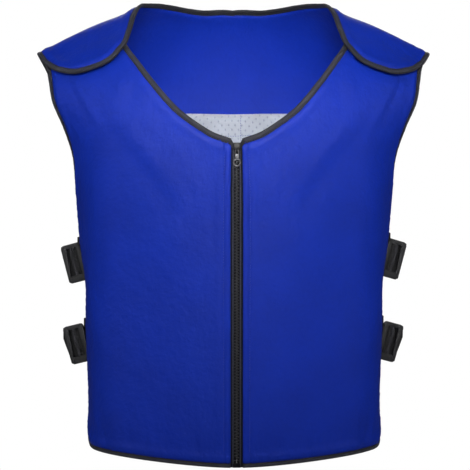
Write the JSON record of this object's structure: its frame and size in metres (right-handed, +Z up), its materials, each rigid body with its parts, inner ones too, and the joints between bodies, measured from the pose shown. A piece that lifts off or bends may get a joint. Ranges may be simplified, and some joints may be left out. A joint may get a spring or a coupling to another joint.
{
  "type": "cooling vest",
  "caption": "Sleeveless zip-fronted work vest in padded cloth with bound edges, overlapping shoulder flaps, a mesh-lined back and side webbing straps on slide buckles.",
  "frame": {"origin": "on the centre plane between the two shoulders, at the height where the shoulders carry the vest", "axes": "+Z up, front towards -Y, the right-hand side of the picture towards +X"},
  "size_m": [0.5154, 0.2455, 0.5911],
  "materials": {
    "blue_nylon": "satin woven nylon",
    "black_binding": "matte folded binding tape",
    "grey_mesh": "matte knitted mesh",
    "black_tape": "matte woven tape",
    "black_webbing": "matte woven webbing",
    "black_moulded": "satin moulded plastic",
    "gunmetal": "plated zinc, satin"
  },
  "bodies": {
    "vest": {"back_binding": "black_binding", "back_lining": "grey_mesh", "back_panel": "blue_nylon", "buckle_lower_left": "black_moulded", "buckle_lower_right": "black_moulded", "buckle_upper_left": "black_moulded", "buckle_upper_right": "black_moulded", "front_binding_left": "black_binding", "front_binding_right": "black_binding", "front_panel_left": "blue_nylon", "front_panel_right": "blue_nylon", "strap_lower_left": "black_webbing", "strap_lower_right": "black_webbing", "strap_upper_left": "black_webbing", "strap_upper_right": "black_webbing", "zip_box": "gunmetal", "zip_slider": "gunmetal", "zip_tape_left": "black_tape", "zip_tape_right": "black_tape", "zip_teeth_left": "black_moulded", "zip_teeth_right": "black_moulded"},
    "pull": {"zip_pull": "gunmetal"}
  },
  "joints": [
    {"name": "zip_pull_swing", "type": "hinge", "parent": "vest", "child": "pull", "pos_m": [0, -0.1238, -0.15343], "axis": [-1, 0, 0], "range_deg": [0, 150]}
  ]
}
